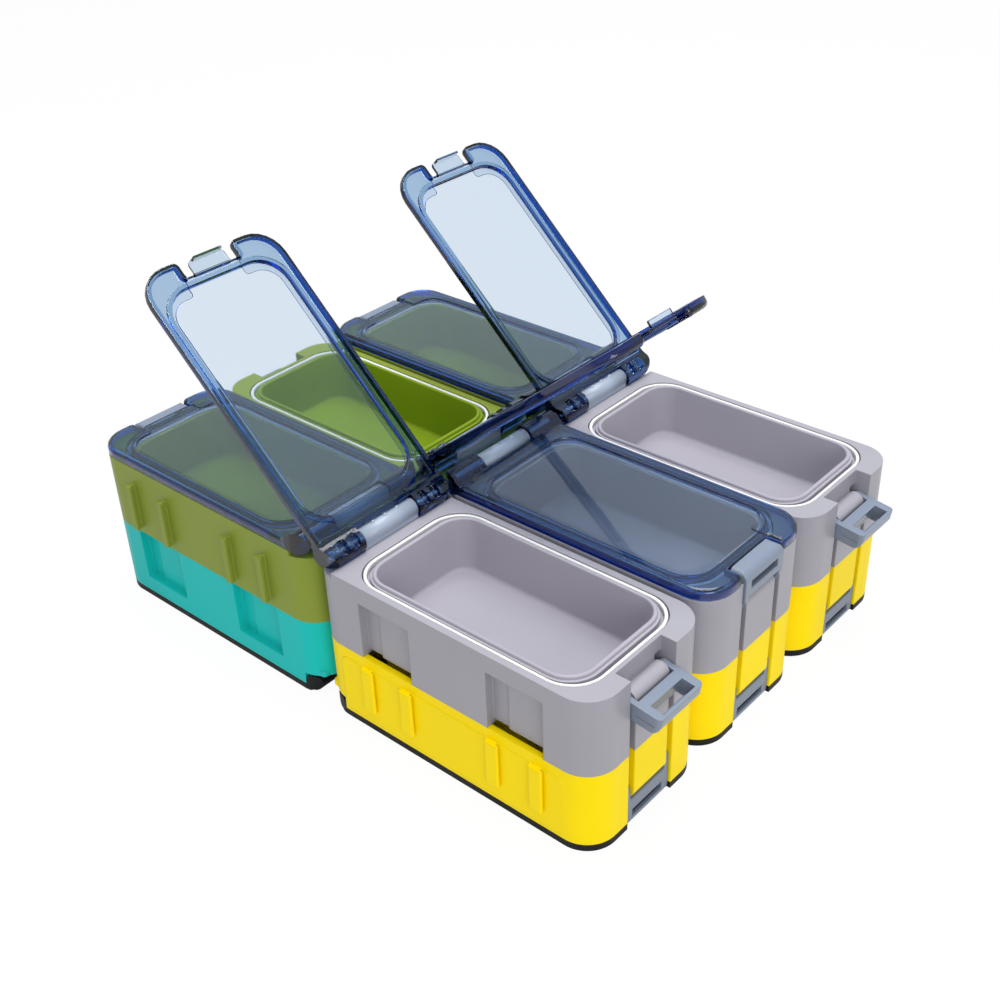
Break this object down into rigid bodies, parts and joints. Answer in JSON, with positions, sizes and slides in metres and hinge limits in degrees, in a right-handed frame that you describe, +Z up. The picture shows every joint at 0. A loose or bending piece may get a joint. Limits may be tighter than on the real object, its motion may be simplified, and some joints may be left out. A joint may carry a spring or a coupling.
{
  "type": "fishing tackle cabinet",
  "caption": "Block of two-sided plastic tackle boxes in two rows, each with drafted tubs, seals, clear hinged lids and over-centre latches, joined by side rails and pockets.",
  "frame": {"origin": "centre of the footprint, on the surface that the block stands on", "axes": "+X towards the latch ends of the grey and yellow row, +Y along the rows, +Z up"},
  "size_m": [0.2748, 0.1964, 0.1523],
  "materials": {
    "grey_plastic": "satin moulded plastic, lilac grey",
    "olive_plastic": "satin moulded plastic, olive green",
    "yellow_plastic": "satin moulded plastic, bright yellow",
    "teal_plastic": "satin moulded plastic, teal",
    "clear_blue_plastic": "clear tinted blue plastic, polished",
    "blue_grey_plastic": "satin moulded plastic, blue grey",
    "black_plastic": "black moulded plastic",
    "white_seal": "soft white seal",
    "pin_steel": "plain drawn steel"
  },
  "bodies": {
    "block": {"upper_case_grey_1": "grey_plastic", "upper_case_grey_2": "grey_plastic", "upper_case_grey_3": "grey_plastic", "upper_case_green_1": "olive_plastic", "upper_case_green_2": "olive_plastic", "upper_case_green_3": "olive_plastic", "upper_tub_grey_1": "grey_plastic", "upper_tub_grey_2": "grey_plastic", "upper_tub_grey_3": "grey_plastic", "upper_tub_green_1": "olive_plastic", "upper_tub_green_2": "olive_plastic", "upper_tub_green_3": "olive_plastic", "lid_grey_2": "clear_blue_plastic", "lid_green_1": "clear_blue_plastic", "lid_green_3": "clear_blue_plastic", "lower_case_grey_1": "yellow_plastic", "lower_case_grey_2": "yellow_plastic", "lower_case_grey_3": "yellow_plastic", "lower_case_green_1": "teal_plastic", "lower_case_green_2": "teal_plastic", "lower_case_green_3": "teal_plastic", "lower_tub_grey_1": "yellow_plastic", "lower_tub_grey_2": "yellow_plastic", "lower_tub_grey_3": "yellow_plastic", "lower_tub_green_1": "teal_plastic", "lower_tub_green_2": "teal_plastic", "lower_tub_green_3": "teal_plastic", "base_lid_grey_1": "black_plastic", "base_lid_grey_2": "black_plastic", "base_lid_grey_3": "black_plastic", "base_lid_green_1": "black_plastic", "base_lid_green_2": "black_plastic", "base_lid_green_3": "black_plastic", "upper_seals": "white_seal", "lower_seals": "white_seal", "upper_hinge_barrels": "blue_grey_plastic", "lower_hinge_barrels": "blue_grey_plastic", "lid_hinge_pins": "pin_steel", "base_hinge_pins": "pin_steel", "upper_latch_pins": "pin_steel", "lower_latch_pins": "pin_steel"},
    "lid_grey_1": {"lid_grey_1": "clear_blue_plastic"},
    "upper_latch_grey_1": {"upper_latch_grey_1": "blue_grey_plastic"},
    "lower_latch_grey_1": {"lower_latch_grey_1": "blue_grey_plastic"},
    "upper_latch_grey_2": {"upper_latch_grey_2": "blue_grey_plastic"},
    "lower_latch_grey_2": {"lower_latch_grey_2": "blue_grey_plastic"},
    "lid_grey_3": {"lid_grey_3": "clear_blue_plastic"},
    "upper_latch_grey_3": {"upper_latch_grey_3": "blue_grey_plastic"},
    "lower_latch_grey_3": {"lower_latch_grey_3": "blue_grey_plastic"},
    "upper_latch_green_1": {"upper_latch_green_1": "blue_grey_plastic"},
    "lower_latch_green_1": {"lower_latch_green_1": "blue_grey_plastic"},
    "lid_green_2": {"lid_green_2": "clear_blue_plastic"},
    "upper_latch_green_2": {"upper_latch_green_2": "blue_grey_plastic"},
    "lower_latch_green_2": {"lower_latch_green_2": "blue_grey_plastic"},
    "upper_latch_green_3": {"upper_latch_green_3": "blue_grey_plastic"},
    "lower_latch_green_3": {"lower_latch_green_3": "blue_grey_plastic"}
  },
  "joints": [
    {"name": "lid_grey_1_hinge", "type": "hinge", "parent": "block", "child": "lid_grey_1", "pos_m": [0.00765, -0.064, 0.0676], "axis": [0, 1, 0], "range_deg": [0, 136.5]},
    {"name": "upper_latch_grey_1_pivot", "type": "hinge", "parent": "block", "child": "upper_latch_grey_1", "pos_m": [0.12255, -0.064, 0.0533], "axis": [0, -1, 0], "range_deg": [0, 98]},
    {"name": "lower_latch_grey_1_pivot", "type": "hinge", "parent": "block", "child": "lower_latch_grey_1", "pos_m": [0.12255, -0.064, 0.015], "axis": [0, 1, 0], "range_deg": [-98, 0]},
    {"name": "upper_latch_grey_2_pivot", "type": "hinge", "parent": "block", "child": "upper_latch_grey_2", "pos_m": [0.12255, 0, 0.0533], "axis": [0, -1, 0], "range_deg": [-98, 0]},
    {"name": "lower_latch_grey_2_pivot", "type": "hinge", "parent": "block", "child": "lower_latch_grey_2", "pos_m": [0.12255, 0, 0.015], "axis": [0, 1, 0], "range_deg": [-98, 0]},
    {"name": "lid_grey_3_hinge", "type": "hinge", "parent": "block", "child": "lid_grey_3", "pos_m": [0.00765, 0.064, 0.0676], "axis": [0, 1, 0], "range_deg": [0, 136.5]},
    {"name": "upper_latch_grey_3_pivot", "type": "hinge", "parent": "block", "child": "upper_latch_grey_3", "pos_m": [0.12255, 0.064, 0.0533], "axis": [0, -1, 0], "range_deg": [0, 98]},
    {"name": "lower_latch_grey_3_pivot", "type": "hinge", "parent": "block", "child": "lower_latch_grey_3", "pos_m": [0.12255, 0.064, 0.015], "axis": [0, 1, 0], "range_deg": [-98, 0]},
    {"name": "upper_latch_green_1_pivot", "type": "hinge", "parent": "block", "child": "upper_latch_green_1", "pos_m": [-0.12255, -0.064, 0.0533], "axis": [0, 1, 0], "range_deg": [-98, 0]},
    {"name": "lower_latch_green_1_pivot", "type": "hinge", "parent": "block", "child": "lower_latch_green_1", "pos_m": [-0.12255, -0.064, 0.015], "axis": [0, -1, 0], "range_deg": [-98, 0]},
    {"name": "lid_green_2_hinge", "type": "hinge", "parent": "block", "child": "lid_green_2", "pos_m": [-0.00765, 0, 0.0676], "axis": [0, -1, 0], "range_deg": [0, 140.5]},
    {"name": "upper_latch_green_2_pivot", "type": "hinge", "parent": "block", "child": "upper_latch_green_2", "pos_m": [-0.12255, 0, 0.0533], "axis": [0, 1, 0], "range_deg": [0, 98]},
    {"name": "lower_latch_green_2_pivot", "type": "hinge", "parent": "block", "child": "lower_latch_green_2", "pos_m": [-0.12255, 0, 0.015], "axis": [0, -1, 0], "range_deg": [-98, 0]},
    {"name": "upper_latch_green_3_pivot", "type": "hinge", "parent": "block", "child": "upper_latch_green_3", "pos_m": [-0.12255, 0.064, 0.0533], "axis": [0, 1, 0], "range_deg": [-98, 0]},
    {"name": "lower_latch_green_3_pivot", "type": "hinge", "parent": "block", "child": "lower_latch_green_3", "pos_m": [-0.12255, 0.064, 0.015], "axis": [0, -1, 0], "range_deg": [-98, 0]}
  ]
}
